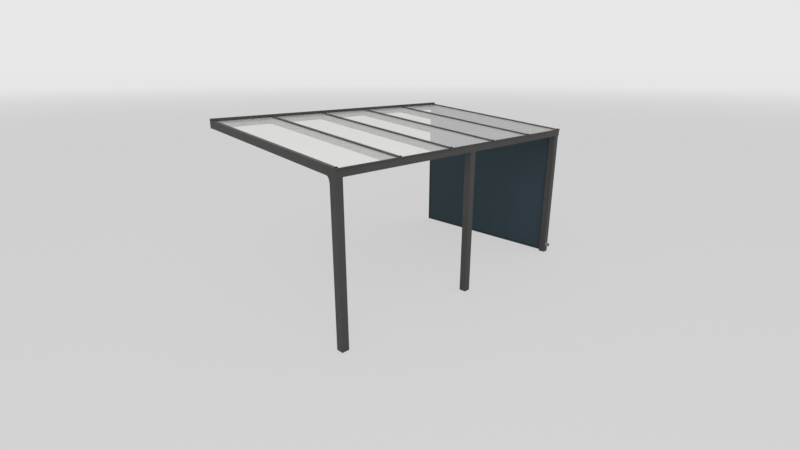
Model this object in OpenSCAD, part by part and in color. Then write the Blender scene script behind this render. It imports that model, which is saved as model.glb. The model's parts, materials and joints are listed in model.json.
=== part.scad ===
// Patio roof that hangs on a wall: glass panes between sloping rafters, a gutter
// beam on posts along the front, a drain spout and a textile screen on the right.
// Millimetres. The origin is the centre of the wall profile's back face: +Y runs
// into the wall, +X to the right for someone facing the wall, and +Z up.

/* [Roof] */
// Width over the outer faces of the two side rafters
roof_width = 5000; // [3000:10:6500]
// Distance from the wall to the front face of the posts
roof_depth = 3000; // [2000:10:4000]
// Clear height from the ground to the underside of the gutter
clear_height = 2200; // [1900:10:2700]
// Rise of the roof for each millimetre of run towards the wall
slope = 0.1; // [0.07:0.01:0.14]
// Number of glass bays across the width
bays = 5; // [3:1:7]

/* [Posts] */
// Side of the square posts
post_side = 110; // [90:1:130]
// Radius on the outer corners of the posts
post_corner = 6; // [5.5:0.5:15]
// Wall thickness of the posts
post_wall = 3; // [2:0.5:5]
// Thickness of the plate that closes a post's foot
foot_plate = 8; // [5:1:15]

/* [Gutter] */
// Height of the gutter's front face
gutter_height = 115; // [95:1:180]
// Depth of the gutter from its nose to its back face
gutter_depth = 152; // [140:1:220]
// How far the gutter's nose stands in front of the posts
gutter_nose = 20; // [10:1:40]
// How far the front face's lower edge lies behind the nose
gutter_setback = 12; // [4:1:18]
// Height of the upright band along the top of the front face
nose_height = 30; // [15:1:60]
// Wall thickness of the gutter
gutter_wall = 3; // [2:0.5:5]
// Radius on the gutter's lower back corner
gutter_corner = 20; // [5:1:24]
// Width of the hollow rib that stiffens the gutter's back
gutter_rib = 30; // [26:1:40]
// Thickness of the plates that close the gutter's ends
end_plate = 3; // [2:0.5:6]

/* [Rafters] */
// Width of a rafter
rafter_width = 60; // [54:1:90]
// Upright height of a rafter, from its underside to the glass seat
rafter_height = 95; // [60:1:140]
// Wall thickness of a rafter
rafter_wall = 2.5; // [2:0.5:5]
// Width of the spine between two panes, which carries the cover strip
spine_width = 14; // [8:1:20]
// Depth of the rafter's nose that reaches out over the gutter
rafter_nose = 16; // [10:1:30]
// Thickness of the outer skin on the two side rafters
skin = 3; // [2:0.5:5]
// Distance from the gutter's nose to the front edge of that skin
skin_front = 45; // [40:1:90]

/* [Cover strips] */
// Width of a cover strip
strip_width = 50; // [36:1:52]
// Height of a cover strip above the glass
strip_height = 12; // [8:1:20]
// Wall thickness of a cover strip
strip_wall = 2.5; // [1.5:0.5:4]
// Width of the end cap in front of a cover strip
cap_width = 46; // [30:1:50]
// Thickness of that end cap
cap_thickness = 4; // [2:0.5:6]
// How far the end cap stands above the cover strip
cap_rise = 12; // [2:1:25]

/* [Glass] */
// Thickness of the glass
glass_thickness = 8; // [6:1:12]
// Gap between the edge of a pane and a spine
glass_gap = 5; // [2:0.5:8]
// Distance from the gutter's nose to the front edge of the glass
glass_front = 32; // [20:1:34]
// How far the glass goes into the wall profile
glass_entry = 20; // [10:1:24]
// Height by which the gutter's lip stands above the glass
lip_rise = 17; // [5:1:30]
// Width of the gasket under the edge of the glass
gasket_width = 8; // [5:1:12]
// Height of that gasket
gasket_height = 2; // [1:0.5:4]

/* [Wall profile] */
// Depth of the wall profile
wall_profile_depth = 60; // [45:1:90]
// Height of the wall profile
wall_profile_height = 145; // [130:1:200]
// Wall thickness of the wall profile
wall_profile_wall = 3; // [2:0.5:5]
// Depth of the slot that takes the glass
slot_depth = 26; // [25:1:35]
// Play above the glass in that slot
slot_play = 3.5; // [1:0.5:6]
// Radius of the anchor holes in the back wall
anchor_radius = 5.5; // [4:0.5:8]
// Radius of the access holes in front of them
access_radius = 9; // [8.5:0.5:12]
// Height between the two rows of anchor holes
anchor_rows = 44; // [30:1:50]

/* [Drain] */
// Outer radius of the drain pipe
pipe_radius = 30; // [20:1:33]
// Wall thickness of the drain pipe
pipe_wall = 3; // [1.5:0.5:4]
// Radius of the bend at the foot of the drain pipe, on its centre line
pipe_bend = 38; // [36:1:40]
// Height of the spout's axis above the ground
spout_height = 140; // [90:1:400]
// How far the spout stands out of the post
spout_reach = 55; // [10:1:100]

/* [Side screen] */
// Side of the square rails around the screen
screen_rail = 20; // [15:1:40]
// Wall thickness of those rails
screen_rail_wall = 1.5; // [1:0.5:3]
// Thickness allowed for the textile
screen_fabric_thickness = 3; // [2:0.5:5]
// Height of the screen above the ground
screen_ground_gap = 8; // [3:1:60]

/* [Fits] */
// Clearance where one piece ends against another
gap = 0.3; // [0.1:0.1:1]

/* [Hidden] */
$fn = 64;
over = 1; // how far a cut runs past the face it opens

half_width = roof_width / 2;
nose_y = -(roof_depth + gutter_nose);
post_y = -roof_depth + post_side / 2;
gutter_back_y = nose_y + gutter_depth;
profile_y = -wall_profile_depth;
glass_y = nose_y + glass_front;
rafter_end_y = profile_y - gap;

// Heights above the ground, which place the ground below the origin
seat_at_nose = clear_height + gutter_height - lip_rise - glass_thickness - gasket_height;
profile_bottom = seat_at_nose + slope * (profile_y - nose_y) - rafter_height;
ground_z = -(profile_bottom + wall_profile_height / 2);
gutter_z = ground_z + clear_height;

// Height of the rafters' glass seat, which every sloping piece follows
function seat(y) = ground_z + seat_at_nose + slope * (y - nose_y);

glass_low = gasket_height;
glass_high = glass_low + glass_thickness;
strip_high = glass_high + strip_height;

gutter_back_height = seat(glass_y) - rafter_nose - gutter_z;

pitch = (roof_width - rafter_width) / bays;
function axis_x(i) = -half_width + rafter_width / 2 + i * pitch;

// The strips over the side rafters lie against the inner face of the skin
function strip_x(i) =
    i == 0 ? -half_width + skin + gap + strip_width / 2
    : i == bays ? half_width - skin - gap - strip_width / 2
    : axis_x(i);

drain_x = half_width - post_side / 2;
screen_x = half_width - rafter_width + screen_rail / 2;

metal = [0.27, 0.27, 0.265];
black = [0.1, 0.1, 0.1];
milky = [0.86, 0.87, 0.87, 0.6];
textile = [0.18, 0.22, 0.25];
pale = [0.62, 0.62, 0.62];

sides = ["left", "right"];

function bay_numbers() = [for (i = [1:bays]) str(i)];
function rafter_numbers() = [for (i = [1:bays - 1]) str(i)];
function strip_name(i) = i == 0 ? "left" : i == bays ? "right" : str(i);
function strip_names() = [for (i = [0:bays]) strip_name(i)];

// ---- Shared shapes ----

// An outline in Y and Z, pushed along X from x0 to x1
module along_x(x0, x1) {
    translate([x0, 0, 0])
        rotate([90, 0, 90])
            linear_extrude(x1 - x0)
                children();
}

// A bar that follows the roof's slope, between two heights over the glass seat
module sloping_bar(x0, x1, y0, y1, low, high) {
    along_x(x0, x1)
        polygon([
            [y0, seat(y0) + low],
            [y1, seat(y1) + low],
            [y1, seat(y1) + high],
            [y0, seat(y0) + high]
        ]);
}

// A square with true arcs on its corners
module rounded_square(side, radius) {
    square([side - 2 * radius, side], center = true);
    square([side, side - 2 * radius], center = true);
    for (x = [-1, 1])
        for (y = [-1, 1])
            translate([x * (side / 2 - radius), y * (side / 2 - radius)])
                circle(radius);
}

// A round hole or pipe along Y, centred at x and z, from y0 to y1
module round_along_y(x, z, y0, y1, radius) {
    translate([x, y1, z])
        rotate([90, 0, 0])
            cylinder(h = y1 - y0, r = radius);
}

// Mirrors its children to the left for side "left" and keeps them for "right"
module on_side(side) {
    if (side == "left")
        mirror([1, 0, 0])
            children();
    else
        children();
}

// ---- Wall profile ----

slot_bottom = seat(profile_y);
slot_top = seat(profile_y + glass_entry) + glass_high + slot_play;
profile_half = wall_profile_height / 2;
lower_chamber = slot_bottom + profile_half - 2 * wall_profile_wall;
anchor_z = -profile_half + wall_profile_wall + lower_chamber / 2;

// One chamber of the hollow profile, from a height up by a given amount
module chamber(low, height) {
    translate([profile_y + wall_profile_wall, low])
        square([wall_profile_depth - 2 * wall_profile_wall, height]);
}

module wall_profile_outline() {
    difference() {
        translate([profile_y, -profile_half])
            square([wall_profile_depth, wall_profile_height]);
        chamber(-profile_half + wall_profile_wall, lower_chamber);
        chamber(
            slot_top + wall_profile_wall,
            profile_half - slot_top - 2 * wall_profile_wall
        );
        translate([profile_y - over, slot_bottom])
            square([slot_depth + over, slot_top - slot_bottom]);
        translate([profile_y + slot_depth + wall_profile_wall, slot_bottom])
            square([
                wall_profile_depth - slot_depth - 2 * wall_profile_wall,
                slot_top - slot_bottom
            ]);
    }
}

// Anchors stand half a bay apart, so that none lies behind a rafter
module wall_profile() {
    color(metal)
        difference() {
            along_x(-half_width + end_plate, half_width - end_plate)
                wall_profile_outline();
            for (i = [0:2 * bays - 1])
                for (row = [-1, 1]) {
                    x = (i - bays + 0.5) * pitch / 2;
                    z = anchor_z + row * anchor_rows / 2;
                    round_along_y(x, z, -wall_profile_wall - over, over, anchor_radius);
                    round_along_y(
                        x, z,
                        profile_y - over, profile_y + wall_profile_wall + over,
                        access_radius
                    );
                }
        }
}

module wall_profile_cap(side) {
    color(metal)
        on_side(side)
            along_x(half_width - end_plate, half_width)
                translate([profile_y, -profile_half])
                    square([wall_profile_depth, wall_profile_height]);
}

// ---- Rafters ----

// The hollow box of a rafter, with its upper nose reaching out over the gutter
module rafter_box(x0, x1, wall0, wall1) {
    difference() {
        sloping_bar(x0, x1, glass_y, rafter_end_y, -rafter_height, 0);
        sloping_bar(
            x0 + wall0, x1 - wall1,
            glass_y - over, rafter_end_y + over,
            -rafter_height + rafter_wall, -rafter_wall
        );
        translate([x0 - over, nose_y, gutter_z - rafter_height])
            cube([
                x1 - x0 + 2 * over,
                gutter_depth + gap,
                rafter_height + gutter_back_height
            ]);
    }
}

module rafter_spine(x) {
    sloping_bar(
        x - spine_width / 2, x + spine_width / 2,
        glass_y, rafter_end_y,
        -rafter_wall, strip_high - strip_wall - gap
    );
}

module rafter(i) {
    x = axis_x(i);
    color(metal) {
        rafter_box(x - rafter_width / 2, x + rafter_width / 2, rafter_wall, rafter_wall);
        rafter_spine(x);
    }
}

// The outer skin rises beside the cover strip and covers the gutter's end
module side_rafter(side) {
    outer = half_width;
    color(metal)
        on_side(side) {
            rafter_box(outer - rafter_width, outer - skin, rafter_wall, rafter_wall);
            rafter_spine(axis_x(bays));
            difference() {
                sloping_bar(
                    outer - skin, outer,
                    nose_y + skin_front, rafter_end_y,
                    -rafter_height, strip_high
                );
                translate([outer - skin - over, nose_y, gutter_z - rafter_height])
                    cube([skin + 2 * over, gutter_depth + gap, rafter_height]);
            }
        }
}

// ---- Glass and cover strips ----

function pane_left(i) = axis_x(i - 1) + spine_width / 2 + glass_gap;
function pane_right(i) = axis_x(i) - spine_width / 2 - glass_gap;

module glass_pane(i) {
    color(milky)
        sloping_bar(
            pane_left(i), pane_right(i),
            glass_y, profile_y + glass_entry,
            glass_low, glass_high
        );
}

// A gasket runs under both long edges of every pane
module glazing_gaskets() {
    color(black)
        for (i = [1:bays])
            for (x = [pane_left(i), pane_right(i) - gasket_width])
                sloping_bar(x, x + gasket_width, glass_y, rafter_end_y, 0, glass_low);
}

module cover_strip(i) {
    x = strip_x(i);
    half = strip_width / 2;
    color(metal)
        difference() {
            sloping_bar(x - half, x + half, glass_y, rafter_end_y, glass_high, strip_high);
            sloping_bar(
                x - half + strip_wall, x + half - strip_wall,
                glass_y - over, rafter_end_y + over,
                glass_high - over, strip_high - strip_wall
            );
        }
}

module strip_end_cap(i) {
    x = strip_x(i);
    color(black)
        sloping_bar(
            x - cap_width / 2, x + cap_width / 2,
            glass_y - gap - cap_thickness, glass_y - gap,
            0, strip_high + cap_rise
        );
}

// ---- Gutter ----

gutter_x = half_width - skin - end_plate;

// The gutter's outline: a thin lip stands at the front, and the rest is filled up to
// the height of the back
module gutter_outline() {
    lip_z = gutter_z + gutter_height;
    inner_y = nose_y + gutter_setback + gutter_wall;
    polygon([
        [nose_y + gutter_setback, gutter_z],
        [gutter_back_y - gutter_corner, gutter_z],
        [gutter_back_y - gutter_corner, gutter_z + gutter_corner],
        [gutter_back_y, gutter_z + gutter_corner],
        [gutter_back_y, gutter_z + gutter_back_height],
        [inner_y, gutter_z + gutter_back_height],
        [inner_y, lip_z - nose_height],
        [nose_y + gutter_wall, lip_z - nose_height + gutter_setback],
        [nose_y + gutter_wall, lip_z],
        [nose_y, lip_z],
        [nose_y, lip_z - nose_height + gutter_setback],
        [nose_y + gutter_setback, lip_z - nose_height]
    ]);
    translate([gutter_back_y - gutter_corner, gutter_z + gutter_corner])
        circle(gutter_corner);
}

// The open channel between the front wall and the rib at the back
module gutter_channel() {
    channel_y = nose_y + gutter_setback + gutter_wall;
    translate([channel_y, gutter_z + gutter_wall])
        square([gutter_back_y - gutter_rib - channel_y, gutter_back_height]);
}

// The closed hollow of the stiffening rib
module rib_hollow() {
    translate([gutter_back_y - gutter_rib + gutter_wall, gutter_z + gutter_corner])
        square([
            gutter_rib - 2 * gutter_wall,
            gutter_back_height - gutter_corner - gutter_wall
        ]);
}

module gutter() {
    color(metal)
        difference() {
            along_x(-gutter_x, gutter_x)
                difference() {
                    gutter_outline();
                    gutter_channel();
                    rib_hollow();
                }
            translate([drain_x, post_y, gutter_z - over])
                cylinder(h = gutter_wall + 2 * over, r = pipe_radius + gap);
        }
}

// The gutter's end seen from the side, from the nose back to the skin's edge
module end_pad_outline() {
    pad_y = nose_y + skin_front - gap;
    lip_z = gutter_z + gutter_height;
    polygon([
        [nose_y + gutter_setback, gutter_z],
        [pad_y, gutter_z],
        [pad_y, lip_z],
        [nose_y, lip_z],
        [nose_y, lip_z - nose_height + gutter_setback],
        [nose_y + gutter_setback, lip_z - nose_height]
    ]);
}

// A plate closes the channel's end, and a pad fills up to the skin's outer face
module gutter_end(side) {
    color(metal)
        on_side(side) {
            along_x(gutter_x, gutter_x + end_plate)
                gutter_outline();
            along_x(gutter_x + end_plate, half_width)
                end_pad_outline();
        }
}

// ---- Posts ----

module post(x) {
    difference() {
        translate([x, post_y, ground_z])
            linear_extrude(clear_height)
                rounded_square(post_side, post_corner);
        translate([x, post_y, ground_z + foot_plate])
            linear_extrude(clear_height)
                rounded_square(post_side - 2 * post_wall, post_corner - post_wall);
    }
}

module post_left() {
    color(metal)
        post(-drain_x);
}

module post_middle() {
    color(metal)
        post(0);
}

// The right post carries the drain pipe, and the spout leaves through its front
module post_right() {
    color(metal)
        difference() {
            post(drain_x);
            round_along_y(
                drain_x, spout_z,
                -roof_depth - over, -roof_depth + post_wall + over,
                pipe_radius + gap
            );
        }
}

// ---- Drain ----

spout_z = ground_z + spout_height;
bend_y = post_y - pipe_bend;

pipe_bore = pipe_radius - pipe_wall;

// The bend is a little slimmer outside, so that the spout ends at the post
bend_radius = pipe_radius - 1;

module pipe_section(radius) {
    difference() {
        circle(radius);
        circle(pipe_bore);
    }
}

module drain_pipe() {
    top = gutter_z + gutter_wall;
    low = spout_z + pipe_bend;
    color(pale)
        translate([drain_x, post_y, low])
            linear_extrude(top - low)
                pipe_section(pipe_radius);
}

// A straight pipe along Y, from y0 forward to y1
module level_pipe(radius, y0, y1) {
    translate([drain_x, y0, spout_z])
        rotate([90, 0, 0])
            linear_extrude(y0 - y1)
                pipe_section(radius);
}

// A quarter bend under the drain pipe runs on to the post's front face
module drain_bend() {
    color(pale) {
        translate([drain_x, bend_y, spout_z + pipe_bend])
            rotate([90, 0, 90])
                rotate([0, 0, -90])
                    rotate_extrude(angle = 90)
                        translate([pipe_bend, 0])
                            pipe_section(bend_radius);
        level_pipe(bend_radius, bend_y, -roof_depth);
    }
}

module drain_spout() {
    color(pale)
        level_pipe(pipe_radius, -roof_depth, -roof_depth - spout_reach);
}

// ---- Side screen ----

screen_low = ground_z + screen_ground_gap;
screen_front_y = -roof_depth + post_side;
screen_top_y = max(gutter_back_y, screen_front_y + screen_rail) + gap;

// A square tube with thin walls, upright from z0 to z1
module upright_rail(y, z0, z1) {
    translate([screen_x, y + screen_rail / 2, z0])
        linear_extrude(z1 - z0)
            difference() {
                square(screen_rail, center = true);
                square(screen_rail - 2 * screen_rail_wall, center = true);
            }
}

module screen_front_rail() {
    color(metal)
        upright_rail(screen_front_y, screen_low, gutter_z - gap);
}

module screen_wall_rail() {
    color(metal)
        upright_rail(-screen_rail, screen_low, -profile_half - gap);
}

module screen_bottom_rail() {
    front = screen_front_y + screen_rail + gap;
    back = -screen_rail - gap;
    color(metal)
        translate([screen_x, front, screen_low + screen_rail / 2])
            rotate([-90, 0, 0])
                linear_extrude(back - front)
                    difference() {
                        square(screen_rail, center = true);
                        square(screen_rail - 2 * screen_rail_wall, center = true);
                    }
}

// The top rail follows the side rafter's underside and ends under the wall profile
module screen_top_rail() {
    half = screen_rail / 2;
    low = -rafter_height - screen_rail;
    back = -screen_rail - gap;
    color(metal)
        difference() {
            sloping_bar(
                screen_x - half, screen_x + half,
                screen_top_y, back,
                low, -rafter_height
            );
            sloping_bar(
                screen_x - half + screen_rail_wall, screen_x + half - screen_rail_wall,
                screen_top_y - over, back + over,
                low + screen_rail_wall, -rafter_height - screen_rail_wall
            );
            translate([screen_x - screen_rail, profile_y - gap, -profile_half - gap])
                cube([2 * screen_rail, wall_profile_depth, screen_rail]);
        }
}

// The textile fills the frame right up to the top rail
module screen_fabric() {
    low = screen_low + screen_rail + gap;
    front = screen_top_y;
    edge = screen_front_y + screen_rail + gap;
    back = -screen_rail - gap;
    top = -rafter_height - screen_rail - gap;
    half = screen_fabric_thickness / 2;
    color(textile)
        along_x(screen_x - half, screen_x + half)
            polygon([
                [edge, low],
                [back, low],
                [back, seat(back) + top],
                [front, seat(front) + top],
                [edge, seat(front) + top]
            ]);
}

// ---- Assembly ----

wall_profile();
glazing_gaskets();
gutter();
post_left();
post_middle();
post_right();
drain_pipe();
drain_bend();
drain_spout();
screen_top_rail();
screen_bottom_rail();
screen_front_rail();
screen_wall_rail();
screen_fabric();
for (s = sides) {
    wall_profile_cap(s);
    gutter_end(s);
    side_rafter(s);
}
for (i = [1:bays - 1])
    rafter(i);
for (i = [0:bays]) {
    cover_strip(i);
    strip_end_cap(i);
}
for (i = [1:bays])
    glass_pane(i);
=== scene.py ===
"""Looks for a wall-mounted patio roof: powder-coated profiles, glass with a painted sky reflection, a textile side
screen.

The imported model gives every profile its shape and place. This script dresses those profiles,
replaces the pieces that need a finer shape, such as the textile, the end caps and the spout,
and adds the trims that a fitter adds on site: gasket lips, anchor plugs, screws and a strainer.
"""

import json
import logging
import math
from dataclasses import dataclass, field
from enum import Enum

import bpy
import numpy as np
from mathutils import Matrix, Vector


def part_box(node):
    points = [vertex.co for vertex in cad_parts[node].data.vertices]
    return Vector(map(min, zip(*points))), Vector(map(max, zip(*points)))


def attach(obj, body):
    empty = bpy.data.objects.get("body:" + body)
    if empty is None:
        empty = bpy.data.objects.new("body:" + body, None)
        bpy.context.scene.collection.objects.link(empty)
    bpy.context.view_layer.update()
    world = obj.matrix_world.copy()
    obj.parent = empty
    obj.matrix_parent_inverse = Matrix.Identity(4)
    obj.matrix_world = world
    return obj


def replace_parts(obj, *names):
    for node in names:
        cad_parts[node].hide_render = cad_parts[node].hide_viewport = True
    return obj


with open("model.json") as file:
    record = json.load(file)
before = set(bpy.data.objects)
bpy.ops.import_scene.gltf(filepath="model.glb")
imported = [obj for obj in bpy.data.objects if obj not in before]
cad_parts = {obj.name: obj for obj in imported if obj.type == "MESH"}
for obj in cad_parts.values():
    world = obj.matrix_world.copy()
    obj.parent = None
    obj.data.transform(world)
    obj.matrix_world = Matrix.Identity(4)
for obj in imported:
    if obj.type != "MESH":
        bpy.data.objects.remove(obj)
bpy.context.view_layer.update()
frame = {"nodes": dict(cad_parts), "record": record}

LOG = logging.getLogger("patio_roof")
BODY = "root"
MERGE_DISTANCE = 1e-6

Colour = tuple[float, float, float]
Array = np.ndarray


class Axis(Enum):
    """The direction in which a turned piece points, as an index and a sign."""

    RIGHT = (0, 1.0)
    LEFT = (0, -1.0)
    FRONT = (1, -1.0)
    UP = (2, 1.0)


class Slot(Enum):
    """The record's material slots."""

    FRAME = "frame"
    CAP = "cap"
    GLASS = "glass"
    GASKET = "gasket"
    DRAIN = "drain"
    SCREEN = "screen"


# ---------------------------------------------------------------------------
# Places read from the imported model
# ---------------------------------------------------------------------------


def span(node: str) -> tuple[Array, Array]:
    """Return a node's lowest and highest corners.

    Args:
        node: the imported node's name.

    Returns:
        Two arrays of x, y and z in metres.
    """
    low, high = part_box(node)
    return np.array(low, dtype=float), np.array(high, dtype=float)


def nodes_named(prefix: str) -> list[str]:
    """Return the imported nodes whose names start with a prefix, in order."""
    return sorted(name for name in frame["nodes"] if name.startswith(prefix))


@dataclass(frozen=True)
class RoofPlane:
    """The sloping plane of the glass, which the strips and gaskets follow.

    Attributes:
        front_y: where the glass begins.
        front_z: height of the glass's upper face there.
        slope: rise for each metre towards the wall.
    """

    front_y: float
    front_z: float
    slope: float

    @classmethod
    def from_pane(cls, node: str, thickness: float) -> "RoofPlane":
        """Measure the plane on one pane.

        Args:
            node: a pane's node name.
            thickness: the upright thickness of the glass.

        Returns:
            The plane of the pane's upper face.
        """
        low, high = span(node)
        slope = (high[2] - low[2] - thickness) / (high[1] - low[1])
        return cls(low[1], low[2] + thickness, slope)

    def height(self, y: Array | float) -> Array | float:
        """Return the glass's upper face at y: the front height plus slope times the run."""
        return self.front_z + self.slope * (np.asarray(y) - self.front_y)


# ---------------------------------------------------------------------------
# Surfaces
# ---------------------------------------------------------------------------


class Surface:
    """Turns arrays of points into meshes and links them to the scene."""

    @staticmethod
    def from_grid(name: str, points: Array, wrap: bool = True, uv: Array | None = None) -> bpy.types.Object:
        """Make a mesh from a grid of points.

        The grid has one row for each step along the piece and one column for each step round
        it. A quad joins each point to its next in the row and in the column. The faces turn
        outwards where the columns run anticlockwise as seen from the end that the rows go to.

        Args:
            name: the object's name.
            points: an array of rows by columns by 3.
            wrap: whether the last column joins the first.
            uv: an array of rows by columns by 2, in metres, for a pattern that follows the surface.

        Returns:
            The new object, at the origin.
        """
        rows, cols = points.shape[:2]
        i, j = np.meshgrid(np.arange(rows - 1), np.arange(cols if wrap else cols - 1), indexing="ij")
        k = (j + 1) % cols
        quads = np.stack([i * cols + j, i * cols + k, (i + 1) * cols + k, (i + 1) * cols + j], axis=-1)
        return Surface.from_arrays(name, points.reshape(-1, 3), quads.reshape(-1, 4), uv)

    @staticmethod
    def from_arrays(name: str, points: Array, quads: Array, uv: Array | None = None) -> bpy.types.Object:
        """Make a mesh from points and quads, joining the points that meet.

        Points that round to the same place become one. A quad that loses a corner by this
        becomes a triangle, and one that loses two is left out, so poles and seams are closed.

        Args:
            name: the object's name.
            points: an array of points by 3.
            quads: an array of faces by 4.
            uv: texture places for each point, or None.

        Returns:
            The new object, at the origin.
        """
        places = np.round(points / MERGE_DISTANCE).astype(np.int64)
        _, first, merged = np.unique(places, axis=0, return_index=True, return_inverse=True)
        joined = merged.reshape(-1)[quads]
        kept = joined != np.roll(joined, -1, axis=1)
        whole = kept.sum(axis=1) >= 3
        kept, joined, quads = kept[whole], joined[whole], quads[whole]
        starts = np.concatenate([[0], np.cumsum(kept.sum(axis=1))[:-1]])
        mesh = bpy.data.meshes.new(name)
        mesh.vertices.add(len(first))
        mesh.vertices.foreach_set("co", points[first].astype(np.float32).ravel())
        mesh.loops.add(int(kept.sum()))
        mesh.loops.foreach_set("vertex_index", joined[kept].astype(np.int32))
        mesh.polygons.add(len(quads))
        mesh.polygons.foreach_set("loop_start", starts.astype(np.int32))
        mesh.polygons.foreach_set("use_smooth", np.ones(len(quads), dtype=bool))
        mesh.update(calc_edges=True)
        if uv is not None:
            layer = mesh.uv_layers.new(name="cloth")
            layer.data.foreach_set("uv", uv.reshape(-1, 2)[quads[kept]].astype(np.float32).ravel())
        mesh.validate()
        piece = bpy.data.objects.new(name, mesh)
        bpy.context.scene.collection.objects.link(piece)
        return piece

    @staticmethod
    def joined(name: str, grids: list[Array], wrap: bool = True) -> bpy.types.Object:
        """Make one mesh from several grids of points.

        Args:
            name: the object's name.
            grids: arrays of rows by columns by 3.
            wrap: whether each grid's last column joins its first.

        Returns:
            The new object, with every grid as a loose part.
        """
        points, quads, start = [], [], 0
        for grid in grids:
            rows, cols = grid.shape[:2]
            i, j = np.meshgrid(np.arange(rows - 1), np.arange(cols if wrap else cols - 1), indexing="ij")
            k = (j + 1) % cols
            faces = np.stack([i * cols + j, i * cols + k, (i + 1) * cols + k, (i + 1) * cols + j], axis=-1)
            quads.append(faces.reshape(-1, 4) + start)
            points.append(grid.reshape(-1, 3))
            start += rows * cols
        return Surface.from_arrays(name, np.concatenate(points), np.concatenate(quads))

    @staticmethod
    def turned(profile: Array, centre: Array, axis: Axis, steps: int = 40) -> Array:
        """Turn a profile about an axis.

        Each point of the profile is a radius and a height. It goes round the axis at that
        radius: across = radius times cosine and sine of the turn, along = height.

        Args:
            profile: an array of points by 2, radius and height.
            centre: where the axis starts.
            axis: the direction of the height.
            steps: points round the circle.

        Returns:
            A grid of points, one row for each profile point.
        """
        turn = np.linspace(0.0, 2.0 * math.pi, steps, endpoint=False)
        index, sign = axis.value
        across = [(index + 1) % 3, (index + 2) % 3]
        grid = np.zeros((len(profile), steps, 3))
        grid[..., across[0]] = profile[:, :1] * np.cos(turn)
        grid[..., across[1]] = profile[:, :1] * np.sin(turn) * sign
        grid[..., index] = profile[:, 1:] * sign
        return grid + np.asarray(centre)

    @staticmethod
    def swept(profile: Array, path: Array, side: Array, up: Array) -> Array:
        """Carry a closed profile along a path and close both ends.

        A point of the result is the path's point plus the profile's two coordinates along the
        side and up directions. The first and last rows shrink to the profile's middle.

        Args:
            profile: an array of points by 2, anticlockwise as seen from the path's end.
            path: an array of points by 3.
            side: the direction of the profile's first coordinate.
            up: the direction of its second coordinate.

        Returns:
            A grid of points, one row for each path point and one for each end's middle.
        """
        ring = profile[:, :1] * side + profile[:, 1:] * up
        middle = np.broadcast_to(ring.mean(axis=0), ring.shape)
        body = path[:, None, :] + ring[None, :, :]
        return np.concatenate([path[:1, None] + middle[None], body, path[-1:, None] + middle[None]])

    @staticmethod
    def rounded_outline(width: float, height: float, radius: float, steps: int = 10) -> Array:
        """Return a rectangle with round corners, anticlockwise.

        Each corner is a quarter circle: its centre lies one radius inside both sides, and the
        turn runs on by a quarter for each corner.

        Args:
            width: the size along the first direction.
            height: the size along the second.
            radius: the corners' radius.
            steps: points in each corner.

        Returns:
            An array of points by 2, about the middle of the rectangle.
        """
        quarter = np.linspace(0.0, math.pi / 2.0, steps)
        turn = (quarter[None, :] + np.arange(4)[:, None] * math.pi / 2.0).ravel()
        signs = np.array([[1, 1], [-1, 1], [-1, -1], [1, -1]], dtype=float).repeat(steps, axis=0)
        centre = signs * (np.array([width, height]) / 2.0 - radius)
        return centre + radius * np.stack([np.cos(turn), np.sin(turn)], axis=-1)


def finished(piece: bpy.types.Object, material: bpy.types.Material, sharp_deg: float = 35.0) -> bpy.types.Object:
    """Dress a new piece, fix it to the model's body and report it.

    Args:
        piece: the object to finish.
        material: its finish.
        sharp_deg: the angle above which an edge stays sharp.

    Returns:
        The same object.
    """
    piece.data.materials.append(material)
    piece.data.set_sharp_from_angle(angle=math.radians(sharp_deg))
    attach(piece, BODY)
    LOG.info("%s: %d faces", piece.name, len(piece.data.polygons))
    return piece


# ---------------------------------------------------------------------------
# Finishes
# ---------------------------------------------------------------------------


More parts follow.
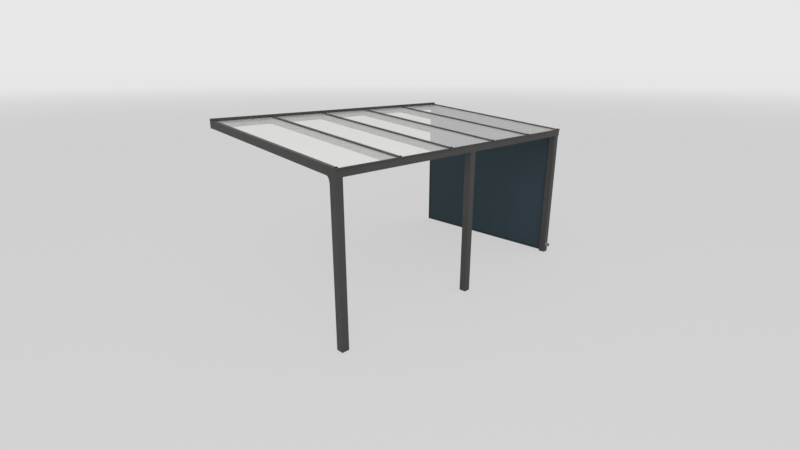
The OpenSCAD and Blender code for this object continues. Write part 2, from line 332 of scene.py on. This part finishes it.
class Shader:
    """One node material with a principled surface, built by short calls."""

    def __init__(self, name: str) -> None:
        """Start an empty material.

        Args:
            name: the material's name.
        """
        self.material = bpy.data.materials.new(name)
        self.material.use_nodes = True
        self.tree = self.material.node_tree
        self.tree.nodes.clear()
        self.surface = self.node("ShaderNodeBsdfPrincipled")
        output = self.node("ShaderNodeOutputMaterial")
        self.tree.links.new(self.surface.outputs["BSDF"], output.inputs["Surface"])
        self.place = self.node("ShaderNodeTexCoord")

    def node(self, kind: str, **values: float) -> bpy.types.Node:
        """Add a node and set its plain inputs.

        Args:
            kind: the node's type.
            values: input names, with underscores for spaces, and their values.

        Returns:
            The new node.
        """
        made = self.tree.nodes.new(kind)
        for key, value in values.items():
            made.inputs[key.replace("_", " ")].default_value = value
        return made

    def join(self, source: bpy.types.NodeSocket, target: bpy.types.NodeSocket) -> None:
        """Link one socket to another."""
        self.tree.links.new(source, target)

    def noise(self, scale: float, detail: float = 3.0, coordinate: str = "Object") -> bpy.types.NodeSocket:
        """Add a cloud pattern.

        Args:
            scale: clouds in each metre.
            detail: how many finer layers lie on it.
            coordinate: which texture coordinate it follows.

        Returns:
            The socket with values about 0.5.
        """
        made = self.node("ShaderNodeTexNoise", Scale=scale, Detail=detail, Roughness=0.55)
        self.join(self.place.outputs[coordinate], made.inputs["Vector"])
        return made.outputs["Fac"]

    def spread(self, source: bpy.types.NodeSocket, low: float, high: float) -> bpy.types.NodeSocket:
        """Spread a pattern's middle range over new values.

        Args:
            source: a pattern about 0.5.
            low: the value at its dark end.
            high: the value at its light end.

        Returns:
            The spread socket.
        """
        made = self.node("ShaderNodeMapRange", From_Min=0.3, From_Max=0.7, To_Min=low, To_Max=high)
        self.join(source, made.inputs["Value"])
        return made.outputs["Result"]

    def tinted(self, factor: bpy.types.NodeSocket, dark: Colour, light: Colour) -> bpy.types.NodeSocket:
        """Blend two colours by a pattern.

        Args:
            factor: 0 for the dark colour and 1 for the light one.
            dark: the first colour.
            light: the second colour.

        Returns:
            The colour socket.
        """
        made = self.tree.nodes.new("ShaderNodeMix")
        made.data_type = "RGBA"
        made.inputs["A"].default_value = (*dark, 1.0)
        made.inputs["B"].default_value = (*light, 1.0)
        self.join(factor, made.inputs["Factor"])
        return made.outputs["Result"]

    def bump(self, height: bpy.types.NodeSocket, distance: float, strength: float) -> None:
        """Raise the surface by a pattern.

        Args:
            height: the pattern.
            distance: how high it stands, in metres.
            strength: how much of it shows.
        """
        made = self.node("ShaderNodeBump", Distance=distance, Strength=strength)
        self.join(height, made.inputs["Height"])
        self.join(made.outputs["Normal"], self.surface.inputs["Normal"])

    def set(self, **values: float | tuple) -> None:
        """Set plain values on the surface, with underscores for spaces."""
        for key, value in values.items():
            self.surface.inputs[key.replace("_", " ")].default_value = value


def scaled(colour: Colour, factor: float) -> Colour:
    """Return a colour made lighter or darker by a factor."""
    return tuple(channel * factor for channel in colour)


@dataclass(frozen=True)
class PowderCoat:
    """A fine-grained powder coat on extruded metal.

    Attributes:
        name: the material's name.
        colour: its colour in linear light.
        sheen_loss: roughness of the grain.
        grain: grains in each metre.
    """

    name: str
    colour: Colour
    roughness: float = 0.5
    grain: float = 1500.0

    def make(self) -> bpy.types.Material:
        """Build the material: a faint cloud of tone, a dusty patch here and there, and a grain."""
        shader = Shader(self.name)
        cloud = shader.spread(shader.noise(1.7, 4.0), 0.0, 1.0)
        tone = shader.tinted(cloud, scaled(self.colour, 0.93), scaled(self.colour, 1.07))
        shader.join(tone, shader.surface.inputs["Base Color"])
        worn = shader.spread(shader.noise(11.0, 5.0), self.roughness - 0.05, self.roughness + 0.07)
        shader.join(worn, shader.surface.inputs["Roughness"])
        shader.bump(shader.noise(self.grain, 2.0), 0.00012, 0.35)
        shader.set(Specular_IOR_Level=0.35)
        return shader.material


@dataclass(frozen=True)
class GlassPaintedReflection:
    """Clear glass drawn as a white film that lets part of the view through; the white is painted reflection of the
    bright sky.

    A pane has two faces, and a line of sight crosses both. So each face hides the share c for
    which the two shares left over, multiplied, give the whole view left over: c is one less
    the square root of one less the cover.

    Attributes:
        name: the material's name.
        colour: the film's colour in linear light, which is the painted sky reflection's colour.
        cover: the share of the view that the painted reflection on the whole pane hides.
    """

    name: str
    colour: Colour
    cover: float

    def make(self) -> bpy.types.Material:
        """Build the material: an even film of painted sky reflection with a very faint cloud, under a smooth face."""
        shader = Shader(self.name)
        cloud = shader.spread(shader.noise(0.9, 3.0), 0.0, 1.0)
        tone = shader.tinted(cloud, scaled(self.colour, 0.985), scaled(self.colour, 1.015))
        shader.join(tone, shader.surface.inputs["Base Color"])
        gloss = shader.spread(shader.noise(5.0, 4.0), 0.1, 0.14)
        shader.join(gloss, shader.surface.inputs["Roughness"])
        # The alpha sets how thickly the white film of painted sky reflection covers the view through the pane.
        shader.set(Alpha=1.0 - math.sqrt(1.0 - self.cover), Specular_IOR_Level=0.3, IOR=1.5)
        return shader.material


@dataclass(frozen=True)
class ScreenCloth:
    """A coated open weave, with threads that cross at right angles.

    Attributes:
        name: the material's name.
        colour: the threads' colour in linear light.
        threads: threads in each metre.
        flecks: pale flecks along each metre.
        fleck_radius: their radius in metres.
    """

    name: str
    colour: Colour
    threads: float = 700.0
    flecks: float = 2.3
    fleck_radius: float = 0.005

    def make(self) -> bpy.types.Material:
        """Build the material: two sets of bands on the cloth's own map, and slow streaks."""
        shader = Shader(self.name)
        heights = []
        for direction in ("X", "Y"):
            wave = shader.node("ShaderNodeTexWave", Scale=self.threads / 20.0, Distortion=0.0)
            wave.bands_direction = direction
            shader.join(shader.place.outputs["UV"], wave.inputs["Vector"])
            heights.append(wave.outputs["Fac"])
        weave = shader.tree.nodes.new("ShaderNodeMath")
        weave.operation = "MULTIPLY"
        shader.join(heights[0], weave.inputs[0])
        shader.join(heights[1], weave.inputs[1])
        streaks = shader.node("ShaderNodeMapping", Scale=(9.0, 0.7, 1.0))
        shader.join(shader.place.outputs["UV"], streaks.inputs["Vector"])
        cloud = shader.node("ShaderNodeTexNoise", Scale=2.0, Detail=4.0)
        shader.join(streaks.outputs["Vector"], cloud.inputs["Vector"])
        factor = shader.spread(cloud.outputs["Fac"], 0.0, 1.0)
        tone = shader.tinted(factor, scaled(self.colour, 0.97), scaled(self.colour, 1.03))
        shader.join(self.flecked(shader, tone), shader.surface.inputs["Base Color"])
        shader.bump(weave.outputs["Value"], 0.0002, 0.25)
        shader.set(Roughness=0.78, Specular_IOR_Level=0.25)
        return shader.material


    def flecked(self, shader: Shader, tone: bpy.types.NodeSocket) -> bpy.types.NodeSocket:
        """Scatter a few pale flecks on the cloth, one at the middle of each cell of a pattern.

        Args:
            shader: the cloth's shader.
            tone: the cloth's colour.

        Returns:
            The colour with the flecks.
        """
        cells = shader.node("ShaderNodeTexVoronoi", Scale=self.flecks)
        shader.join(shader.place.outputs["UV"], cells.inputs["Vector"])
        near = shader.tree.nodes.new("ShaderNodeMath")
        near.operation = "LESS_THAN"
        near.inputs[1].default_value = self.fleck_radius * self.flecks
        shader.join(cells.outputs["Distance"], near.inputs[0])
        blend = shader.tree.nodes.new("ShaderNodeMix")
        blend.data_type = "RGBA"
        blend.inputs["B"].default_value = (*scaled(self.colour, 3.5), 1.0)
        shader.join(near.outputs["Value"], blend.inputs["Factor"])
        shader.join(tone, blend.inputs["A"])
        return blend.outputs["Result"]


@dataclass(frozen=True)
class Moulded:
    """Moulded plastic or rubber with a fine spark-eroded grain.

    Attributes:
        name: the material's name.
        colour: its colour in linear light.
        roughness: how dull it is.
        grain: grains in each metre.
    """

    name: str
    colour: Colour
    roughness: float
    grain: float = 900.0

    def make(self) -> bpy.types.Material:
        """Build the material: a slight change of tone and a fine grain."""
        shader = Shader(self.name)
        cloud = shader.spread(shader.noise(14.0, 3.0), 0.0, 1.0)
        tone = shader.tinted(cloud, scaled(self.colour, 0.9), scaled(self.colour, 1.1))
        shader.join(tone, shader.surface.inputs["Base Color"])
        dull = shader.spread(shader.noise(60.0, 2.0), self.roughness - 0.06, self.roughness + 0.06)
        shader.join(dull, shader.surface.inputs["Roughness"])
        shader.bump(shader.noise(self.grain, 2.0), 0.0001, 0.3)
        shader.set(Specular_IOR_Level=0.3)
        return shader.material


@dataclass
class Finishes:
    """Every finish of the roof, made once."""

    coat: bpy.types.Material = field(default_factory=lambda: PowderCoat("anthracite_powder_coat", (0.053, 0.0518, 0.0505)).make())
    # The glass finish is a white film of painted sky reflection standing in for clear glass.
    glass: bpy.types.Material = field(default_factory=lambda: GlassPaintedReflection("glass_painted_reflection", (0.86, 0.855, 0.84), 0.62).make())
    cloth: bpy.types.Material = field(default_factory=lambda: ScreenCloth("screen_cloth", (0.033, 0.056, 0.070)).make())
    cap: bpy.types.Material = field(default_factory=lambda: Moulded("black_end_cap", (0.008, 0.008, 0.008), 0.6).make())
    rubber: bpy.types.Material = field(default_factory=lambda: Moulded("glazing_rubber", (0.012, 0.012, 0.012), 0.75).make())
    pipe: bpy.types.Material = field(default_factory=lambda: Moulded("grey_drain_pipe", (0.24, 0.24, 0.24), 0.45, 500.0).make())
    screw: bpy.types.Material = field(default_factory=lambda: PowderCoat("coated_screw", (0.045, 0.044, 0.043), 0.4).make())


# ---------------------------------------------------------------------------
# Sub-assemblies
# ---------------------------------------------------------------------------


@dataclass
class Profiles:
    """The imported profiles, panes and pipes, which only need their finishes."""

    finishes: Finishes

    def dress(self) -> None:
        """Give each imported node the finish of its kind."""
        kinds = {
            self.finishes.glass: nodes_named("glass_pane_"),
            self.finishes.rubber: nodes_named("glazing_gaskets"),
            self.finishes.cap: nodes_named("strip_end_cap_"),
            self.finishes.cloth: nodes_named("screen_fabric"),
            self.finishes.pipe: nodes_named("drain_"),
        }
        special = {name: finish for finish, names in kinds.items() for name in names}
        for name, node in frame["nodes"].items():
            for place in node.material_slots:
                place.material = special.get(name, self.finishes.coat)
        LOG.info("dressed %d packed nodes", len(frame["nodes"]))


@dataclass
class StripGaskets:
    """Rubber lips along the cover strips and under the wall profile's upper lip.

    Attributes:
        plane: the glass's upper face.
        finishes: the roof's finishes.
        width: how far a lip stands out from its strip.
        height: how high it is at the strip.
    """

    plane: RoofPlane
    finishes: Finishes
    width: float = 0.0028
    height: float = 0.0032

    def profile(self, sign: float) -> Array:
        """Return a lip's outline: a quarter of an ellipse against the strip, and a flat foot.

        Args:
            sign: 1 where the lip points to the right, -1 to the left.

        Returns:
            Points by 2, anticlockwise as seen from the wall.
        """
        turn = np.linspace(0.0, math.pi / 2.0, 9)
        bow = np.stack([self.width * np.cos(turn), self.height * np.sin(turn)], axis=-1)
        outline = np.concatenate([[[-0.0006, 0.0]], bow, [[-0.0006, self.height]]])
        outline[:, 0] *= sign
        return outline if sign < 0 else outline[::-1]

    def build(self) -> None:
        """Make the lips of every strip, then the bead under the wall profile's lip."""
        grids = []
        panes_low, panes_high = span("glass_pane_1")[0][0], span("glass_pane_5")[1][0]
        for name in nodes_named("cover_strip_"):
            low, high = span(name)
            y = np.linspace(low[1], high[1], 25)
            for sign, edge in ((-1.0, low[0]), (1.0, high[0])):
                if panes_low < edge < panes_high:
                    path = np.stack([np.full_like(y, edge), y, self.plane.height(y)], axis=-1)
                    grids.append(Surface.swept(self.profile(sign), path, np.array([1.0, 0, 0]), np.array([0, 0, 1.0])))
        finished(Surface.joined("strip_gasket_lips", grids), self.finishes.rubber)

    def build_wall_bead(self) -> None:
        """Make the bead that fills the slot over the glass, one length to each pane.

        The bead is a rounded rectangle carried along X, as high as the slot's free play.
        """
        slot_y = span("wall_profile")[0][1]
        strips = [span(name) for name in nodes_named("cover_strip_")]
        edges = sorted((low[0], high[0]) for low, high in strips)
        base = float(self.plane.height(slot_y))
        outline = Surface.rounded_outline(0.008, 0.0052, 0.0016, 5)
        grids = []
        for left, right in zip(edges[:-1], edges[1:]):
            x = np.linspace(left[1], right[0], 17)
            path = np.stack([x, np.full_like(x, slot_y + 0.002), np.full_like(x, base + 0.0027)], axis=-1)
            grids.append(Surface.swept(outline, path, np.array([0, 1.0, 0]), np.array([0, 0, 1.0])))
        finished(Surface.joined("wall_slot_bead", grids), self.finishes.rubber)


@dataclass
class EndCaps:
    """The moulded upstands that close the front of each cover strip.

    Attributes:
        finishes: the roof's finishes.
        corner: radius of the cap's upper corners.
        edge: radius of its edges.
    """

    finishes: Finishes
    corner: float = 0.006
    edge: float = 0.001

    def plate(self, low: Array, high: Array) -> Array:
        """Return a plate with round corners and softly rounded edges.

        Rings of one outline lie from the middle of the front to the middle of the back. Each
        ring is the outline drawn in by the edge radius times one less the sine of a turn, and
        set back by the same radius times one less its cosine.

        Args:
            low: the plate's lowest corner.
            high: its highest corner.

        Returns:
            A grid of points.
        """
        size, centre = high - low, (low + high) / 2.0
        turn = np.linspace(0.0, math.pi / 2.0, 5)
        inset = self.edge * (1.0 - np.sin(turn))
        depth = self.edge * (1.0 - np.cos(turn))
        insets = np.concatenate([inset, inset[::-1]])
        depths = np.concatenate([depth, size[1] - depth[::-1]])
        rings = []
        for draw, back in zip(insets, depths):
            outline = Surface.rounded_outline(size[0] - 2 * draw, size[2] - 2 * draw, self.corner - draw)
            ring = np.zeros((len(outline), 3))
            ring[:, 0], ring[:, 2] = outline[:, 0], outline[:, 1]
            ring[:, 1] = back - size[1] / 2.0
            rings.append(ring + centre)
        first = np.broadcast_to(rings[0].mean(axis=0), rings[0].shape)
        last = np.broadcast_to(rings[-1].mean(axis=0), rings[-1].shape)
        return np.stack([first, *rings, last])[::-1]

    def build(self) -> None:
        """Make a cap for each strip, with the lug that clips into the strip behind it."""
        for name in nodes_named("strip_end_cap_"):
            low, high = span(name)
            lug_low = np.array([low[0] + 0.006, high[1] - 0.001, low[2] + 0.012])
            lug_high = np.array([high[0] - 0.006, high[1] + 0.010, high[2] - 0.0160])
            grids = [self.plate(low, high), self.plate(lug_low, lug_high)]
            piece = finished(Surface.joined(name + "_moulding", grids), self.finishes.cap)
            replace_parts(piece, name)


@dataclass
class SideScreen:
    """The stretched textile in its slim frame.

    Attributes:
        finishes: the roof's finishes.
        thickness: the cloth's thickness.
        pull: how far the cloth leaves its plane between the rails.
    """

    finishes: Finishes
    thickness: float = 0.0008
    pull: float = 0.0012

    def build(self) -> None:
        """Make the cloth.

        The cloth is a grid of two shares, s from front to wall and t from bottom to top:
        y runs evenly with s, and z runs from the lower edge to an upper edge that rises
        evenly towards the wall. The cloth leaves its plane by the pull times the sines of
        both shares, with a slow ripple along its length.
        """
        low, high = span("screen_fabric")
        rail_low, rail_high = span("screen_top_rail")
        rail_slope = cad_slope()
        front_top = high[2] - rail_slope * (high[1] - low[1])
        s, t = np.meshgrid(np.linspace(0, 1, 150), np.linspace(0, 1, 120), indexing="ij")
        y = low[1] + s * (high[1] - low[1])
        upper = front_top + s * (high[2] - front_top)
        z = low[2] + t * (upper - low[2])
        bulge = np.sin(math.pi * s) * np.sin(math.pi * t)
        ripple = 1.0 + 0.35 * np.sin(9.0 * math.pi * s + 1.2)
        x = (low[0] + high[0]) / 2.0 - self.pull * bulge * ripple
        points = np.stack([x, y, z], axis=-1)
        uv = np.stack([y - low[1], z - low[2]], axis=-1)
        piece = Surface.from_grid("screen_textile", points, wrap=False, uv=uv)
        shell = piece.modifiers.new("cloth thickness", "SOLIDIFY")
        shell.thickness = self.thickness
        shell.offset = 0.0
        finished(piece, self.finishes.cloth)
        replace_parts(piece, "screen_fabric")


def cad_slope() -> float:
    """Return the roof's slope, measured on the first pane."""
    return PLANE.slope


@dataclass
class DrainSpout:
    """The spout at the foot of the right post, with a slim collar against the post.

    Attributes:
        finishes: the roof's finishes.
        wall: the pipe's wall thickness.
        rim: radius of the rounded mouth.
    """

    finishes: Finishes
    wall: float = 0.003
    rim: float = 0.0014

    def build(self) -> None:
        """Make the spout.

        The profile is a radius and a reach from the post: out along the outside, round the
        mouth in a half circle, and back along the bore. The collar is a flat ring whose outer
        edge is a quarter circle.
        """
        low, high = span("drain_spout")
        radius = (high[0] - low[0]) / 2.0
        reach = high[1] - low[1]
        centre = np.array([(low[0] + high[0]) / 2.0, high[1], (low[2] + high[2]) / 2.0])
        turn = np.linspace(0.0, math.pi, 13)
        middle = radius - self.wall / 2.0
        mouth = np.stack([middle + self.wall / 2.0 * np.cos(turn), reach - self.rim + self.rim * np.sin(turn)], axis=-1)
        outside = np.array([[radius, 0.0], [radius, 0.5 * reach]])
        inside = np.array([[radius - self.wall, 0.5 * reach], [radius - self.wall, 0.0], [radius, 0.0]])
        pipe = Surface.turned(np.concatenate([outside, mouth, inside]), centre, Axis.FRONT, 72)
        quarter = np.linspace(0.0, math.pi / 2.0, 6)
        lip = np.stack([radius + 0.005 + 0.002 * np.cos(quarter), 0.002 * np.sin(quarter)], axis=-1)
        ring = np.concatenate([lip, [[radius + 0.0002, 0.002], [radius + 0.0002, 0.0]], lip[:1]])
        collar = Surface.turned(ring, centre, Axis.FRONT, 72)
        piece = Surface.joined("spout_pipe", [pipe, collar])
        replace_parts(finished(piece, self.finishes.pipe), "drain_spout")


@dataclass
class Fixings:
    """Anchor plugs in the wall profile and screws in the end plates and skins.

    Attributes:
        finishes: the roof's finishes.
        plug_radius: radius of a plug over an access hole.
        head_radius: radius of a screw's head.
    """

    finishes: Finishes
    plug_radius: float = 0.0105
    head_radius: float = 0.0045

    def plug_profile(self) -> Array:
        """Return a plug's outline: a low dome, height falling with the square of the radius."""
        radius = np.linspace(0.0, self.plug_radius, 7)
        dome = 0.0022 - 0.0012 * (radius / self.plug_radius) ** 2
        return np.concatenate([[[0.0, -0.004]], [[0.0088, -0.004]], [[0.0088, 0.0]], [[self.plug_radius, 0.0]], np.stack([radius, dome], axis=-1)[::-1]])

    def screw_profile(self) -> Array:
        """Return a pan head's outline, with the recess for the driver in its middle."""
        turn = np.linspace(0.0, math.pi / 2.0, 6)
        shoulder = np.stack([self.head_radius - 0.0012 + 0.0012 * np.cos(turn), 0.0011 + 0.0012 * np.sin(turn)], axis=-1)
        recess = np.array([[0.0019, 0.0023], [0.0017, 0.0010], [0.0, 0.0006]])
        return np.concatenate([[[0.0, 0.0]], [[self.head_radius, 0.0]], shoulder, recess])

    def build_plugs(self) -> None:
        """Close every access hole, at the corners of each anchor pattern."""
        front = span("wall_profile")[0][1]
        grids = []
        for mount in frame["record"]["mounts"]:
            if not mount["name"].startswith("wall_anchors_"):
                continue
            x, _, z = mount["pos_m"]
            half_x, half_z = mount["dims"]["spacing_x_mm"] / 2000.0, mount["dims"]["spacing_y_mm"] / 2000.0
            for sign_x in (-1.0, 1.0):
                for sign_z in (-1.0, 1.0):
                    place = np.array([x + sign_x * half_x, front, z + sign_z * half_z])
                    grids.append(Surface.turned(self.plug_profile(), place, Axis.FRONT, 24))
        finished(Surface.joined("anchor_plugs", grids), self.finishes.cap)

    def build_screws(self) -> None:
        """Screw the end plates and the side skins, on both ends of the roof."""
        places = []
        for side, axis in (("left", Axis.LEFT), ("right", Axis.RIGHT)):
            corner = 0 if side == "left" else 1
            plate = span(f"gutter_end_{side}")
            cap = span(f"wall_profile_cap_{side}")
            skin = span(f"side_rafter_{side}")
            x = plate[corner][0]
            for height in (0.03, 0.085):
                places.append((np.array([x, plate[0][1] + 0.03, plate[0][2] + height]), axis))
            for height in (0.025, 0.12):
                places.append((np.array([cap[corner][0], -0.03, cap[0][2] + height]), axis))
            for run in (0.075, 0.12, 2.80, 2.88):
                y = skin[0][1] + run
                places.append((np.array([x, y, float(PLANE.height(y)) - 0.045]), axis))
        grids = [Surface.turned(self.screw_profile(), place, axis, 20) for place, axis in places]
        finished(Surface.joined("plate_screws", grids), self.finishes.screw)


@dataclass
class CornerBrackets:
    """Rounded brackets in the corners between the end posts and the side rafters.

    Attributes:
        finishes: the roof's finishes.
        radius: radius of the hollow curve.
        width: how wide a bracket is across the roof.
        overlap: how far it reaches into the profiles that it joins.
    """

    finishes: Finishes
    radius: float = 0.065
    width: float = 0.035
    overlap: float = 0.001

    def edges(self) -> tuple[Array, Array]:
        """Return a bracket's two edges in y and z, from the post up to the rafter.

        The straight edge goes up the post and along the underside of the beam and the rafter.
        The hollow edge is a quarter of an ellipse. Its centre lies one radius behind and below
        the corner, and it ends on the rafter's underside.

        Returns:
            The straight edge and the hollow one, with as many points each.
        """
        post_high = span("post_left")[1]
        corner_y, corner_z = post_high[1], post_high[2]
        beam_back = span("gutter")[1][1]
        rafter_low = span("side_rafter_left")[0]
        under = rafter_low[2] + float(PLANE.height(beam_back) - PLANE.height(rafter_low[1]))
        far = corner_y + self.radius
        under_far = under + PLANE.slope * (far - beam_back)
        straight = np.array([
            [corner_y - self.overlap, corner_z - self.radius],
            [corner_y - self.overlap, corner_z + self.overlap],
            [beam_back - self.overlap, corner_z + self.overlap],
            [beam_back + self.overlap, under + self.overlap],
            [far, under_far + self.overlap],
        ])
        share = np.linspace(0.0, 1.0, 33)
        length = np.concatenate([[0.0], np.cumsum(np.linalg.norm(np.diff(straight, axis=0), axis=1))])
        outer = np.stack([np.interp(share * length[-1], length, straight[:, k]) for k in (0, 1)], axis=-1)
        turn = math.pi - share * math.pi / 2.0
        tall = under_far - (corner_z - self.radius)
        hollow = np.stack([far + self.radius * np.cos(turn), corner_z - self.radius + tall * np.sin(turn)], axis=-1)
        return outer, hollow

    def build(self) -> None:
        """Make one bracket at each end, flush with the outside of the post."""
        outer, hollow = self.edges()
        grids = []
        for node, corner in (("post_left", 0), ("post_right", 1)):
            outside = span(node)[corner][0]
            inward = self.width if corner == 0 else -self.width
            left, right = sorted((outside, outside + inward))
            grid = np.zeros((len(outer), 4, 3))
            for column, (x, edge) in enumerate(((left, outer), (right, outer), (right, hollow), (left, hollow))):
                grid[:, column, 0] = x
                grid[:, column, 1:] = edge
            ends = [np.broadcast_to(grid[row].mean(axis=0), (1, 4, 3)) for row in (0, -1)]
            grids.append(np.concatenate([ends[0], grid, ends[1]]))
        finished(Surface.joined("corner_brackets", grids), self.finishes.coat)


@dataclass
class LeafStrainer:
    """A wire basket over the outlet in the gutter's floor.

    Attributes:
        finishes: the roof's finishes.
        radius: radius of the basket's foot.
        height: height of its dome.
        wire: radius of its wires.
    """

    finishes: Finishes
    radius: float = 0.036
    height: float = 0.034
    wire: float = 0.0011

    def tube(self, path: Array, side: Array) -> Array:
        """Carry a small circle along a path.

        Args:
            path: points by 3.
            side: a direction across the path, which the circle keeps.

        Returns:
            A grid of points with closed ends.
        """
        ahead = np.gradient(path, axis=0)
        ahead /= np.linalg.norm(ahead, axis=1, keepdims=True)
        up = np.cross(ahead, side)
        turn = np.linspace(0.0, 2.0 * math.pi, 8, endpoint=False)
        ring = np.cos(turn)[None, :, None] * side + np.sin(turn)[None, :, None] * up[:, None, :]
        body = path[:, None, :] + self.wire * ring
        return np.concatenate([np.repeat(path[:1, None], 8, axis=1), body, np.repeat(path[-1:, None], 8, axis=1)])

    def build(self) -> None:
        """Make the hoops: each is half an ellipse over the outlet, turned about its axis."""
        low, high = span("drain_pipe")
        centre = np.array([(low[0] + high[0]) / 2.0, (low[1] + high[1]) / 2.0, high[2] + self.wire])
        share = np.linspace(0.0, math.pi, 25)
        grids = []
        for turn in np.arange(5) * math.pi / 5.0:
            out = np.array([math.cos(turn), math.sin(turn), 0.0])
            path = centre + self.radius * np.cos(share)[:, None] * out
            path[:, 2] += self.height * np.sin(share)
            grids.append(self.tube(path, np.array([-math.sin(turn), math.cos(turn), 0.0])))
        turn = np.linspace(0.0, 2.0 * math.pi, 49)
        foot = centre + self.radius * np.stack([np.cos(turn), np.sin(turn), 0.0 * turn], axis=-1)
        grids.append(self.tube(foot, np.array([0.0, 0.0, 1.0])))
        finished(Surface.joined("leaf_strainer", grids), self.finishes.pipe)


# ---------------------------------------------------------------------------
# Stage
# ---------------------------------------------------------------------------


@dataclass
class Studio:
    """The floor, the light and the camera.

    Attributes:
        floor_tone: the floor's colour in linear light near the roof.
        far_tone: its colour far away.
        floor_glow: how much of the floor's colour shows without any shadow.
        sky_tone: the backdrop's colour in linear light.
        sky_light: how strongly the sky lights the roof.
        place: where the camera stands.
        yaw_deg: the camera's turn to the right of the wall's direction.
        pitch_deg: the camera's tilt below the horizon.
        lens: its focal length for a sensor 36 mm wide.
    """

    floor_tone: float = 0.655
    far_tone: float = 0.83
    floor_glow: float = 0.8
    sky_tone: float = 0.80
    sky_light: float = 0.95
    place: tuple[float, float, float] = (-5.6517, -7.1663, 0.7905)
    yaw_deg: float = 44.915
    pitch_deg: float = 18.054
    lens: float = 21.7125

    def camera(self) -> None:
        """Set up the camera."""
        data = bpy.data.cameras.new("camera")
        data.lens = self.lens
        data.sensor_width = 36.0
        data.clip_end = 500.0
        camera = bpy.data.objects.new("camera", data)
        camera.location = self.place
        camera.rotation_euler = (math.radians(90.0 - self.pitch_deg), 0.0, -math.radians(self.yaw_deg))
        bpy.context.scene.collection.objects.link(camera)
        bpy.context.scene.camera = camera

    def floor(self) -> None:
        """Lay a wide floor, a disc whose rings widen outwards, at the height of the post feet."""
        ground = span("post_left")[0][2]
        radius = np.array([0.0, 4.0, 12.0, 40.0, 160.0, 450.0])
        turn = np.linspace(0.0, 2.0 * math.pi, 96, endpoint=False)
        points = np.zeros((len(radius), len(turn), 3))
        points[..., 0] = radius[:, None] * np.cos(turn)
        points[..., 1] = radius[:, None] * np.sin(turn)
        points[..., 2] = ground - 0.0005
        piece = Surface.from_grid("studio_floor", points)
        shader = Shader("pale_floor")
        away = shader.tree.nodes.new("ShaderNodeVectorMath")
        away.operation = "LENGTH"
        shader.join(shader.place.outputs["Object"], away.inputs[0])
        far = shader.node("ShaderNodeMapRange", From_Min=12.0, From_Max=110.0, To_Min=0.0, To_Max=1.0)
        far.interpolation_type = "SMOOTHERSTEP"
        shader.join(away.outputs["Value"], far.inputs["Value"])
        tone = shader.tinted(far.outputs["Result"], (self.floor_tone,) * 3, (self.far_tone,) * 3)
        shader.join(tone, shader.surface.inputs["Base Color"])
        shader.set(Roughness=1.0, Specular_IOR_Level=0.0)
        glow = shader.node("ShaderNodeEmission", Strength=1.0)
        shader.join(tone, glow.inputs["Color"])
        blend = shader.node("ShaderNodeMixShader")
        rays = shader.node("ShaderNodeLightPath")
        seen = shader.tree.nodes.new("ShaderNodeMath")
        seen.operation = "MULTIPLY"
        seen.inputs[1].default_value = self.floor_glow
        shader.join(rays.outputs["Is Camera Ray"], seen.inputs[0])
        shader.join(seen.outputs["Value"], blend.inputs["Fac"])
        shader.join(shader.surface.outputs["BSDF"], blend.inputs[1])
        shader.join(glow.outputs["Emission"], blend.inputs[2])
        output = next(n for n in shader.tree.nodes if n.type == "OUTPUT_MATERIAL")
        shader.join(blend.outputs["Shader"], output.inputs["Surface"])
        piece.data.materials.append(shader.material)

    def sky(self) -> None:
        """Light the roof evenly, and show a plain backdrop behind it."""
        world = bpy.data.worlds.new("studio_sky")
        bpy.context.scene.world = world
        world.use_nodes = True
        tree = world.node_tree
        tree.nodes.clear()
        light = tree.nodes.new("ShaderNodeBackground")
        light.inputs["Strength"].default_value = self.sky_light
        backdrop = tree.nodes.new("ShaderNodeBackground")
        backdrop.inputs["Color"].default_value = (self.sky_tone,) * 3 + (1.0,)
        rays = tree.nodes.new("ShaderNodeLightPath")
        blend = tree.nodes.new("ShaderNodeMixShader")
        output = tree.nodes.new("ShaderNodeOutputWorld")
        tree.links.new(rays.outputs["Is Camera Ray"], blend.inputs["Fac"])
        tree.links.new(light.outputs["Background"], blend.inputs[1])
        tree.links.new(backdrop.outputs["Background"], blend.inputs[2])
        tree.links.new(blend.outputs["Shader"], output.inputs["Surface"])

    def lamps(self) -> None:
        """Hang one broad soft lamp in front of the roof, up and to the left."""
        data = bpy.data.lights.new("soft_key", "AREA")
        data.shape = "DISK"
        data.size = 9.0
        data.energy = 450.0
        lamp = bpy.data.objects.new("soft_key", data)
        lamp.location = (-7.0, -9.0, 7.0)
        direction = np.array([0.0, -1.5, -1.2]) - np.array(lamp.location)
        turn = math.atan2(direction[0], direction[1])
        tilt = math.atan2(direction[2], math.hypot(direction[0], direction[1]))
        lamp.rotation_euler = (math.pi / 2.0 + tilt, 0.0, -turn)
        bpy.context.scene.collection.objects.link(lamp)

    def build(self) -> None:
        """Set the whole stage."""
        self.camera()
        self.floor()
        self.sky()
        self.lamps()
        bpy.context.scene.view_settings.view_transform = "Standard"


PLANE = RoofPlane.from_pane("glass_pane_1", 0.008)


def main() -> None:
    """Build the roof's looks in order."""
    logging.basicConfig(level=logging.INFO, format="%(name)s: %(message)s")
    Studio().build()
    finishes = Finishes()
    Profiles(finishes).dress()
    gaskets = StripGaskets(PLANE, finishes)
    gaskets.build()
    gaskets.build_wall_bead()
    EndCaps(finishes).build()
    SideScreen(finishes).build()
    DrainSpout(finishes).build()
    fixings = Fixings(finishes)
    fixings.build_plugs()
    fixings.build_screws()
    CornerBrackets(finishes).build()
    LeafStrainer(finishes).build()


if __name__ == "__main__":
    main()
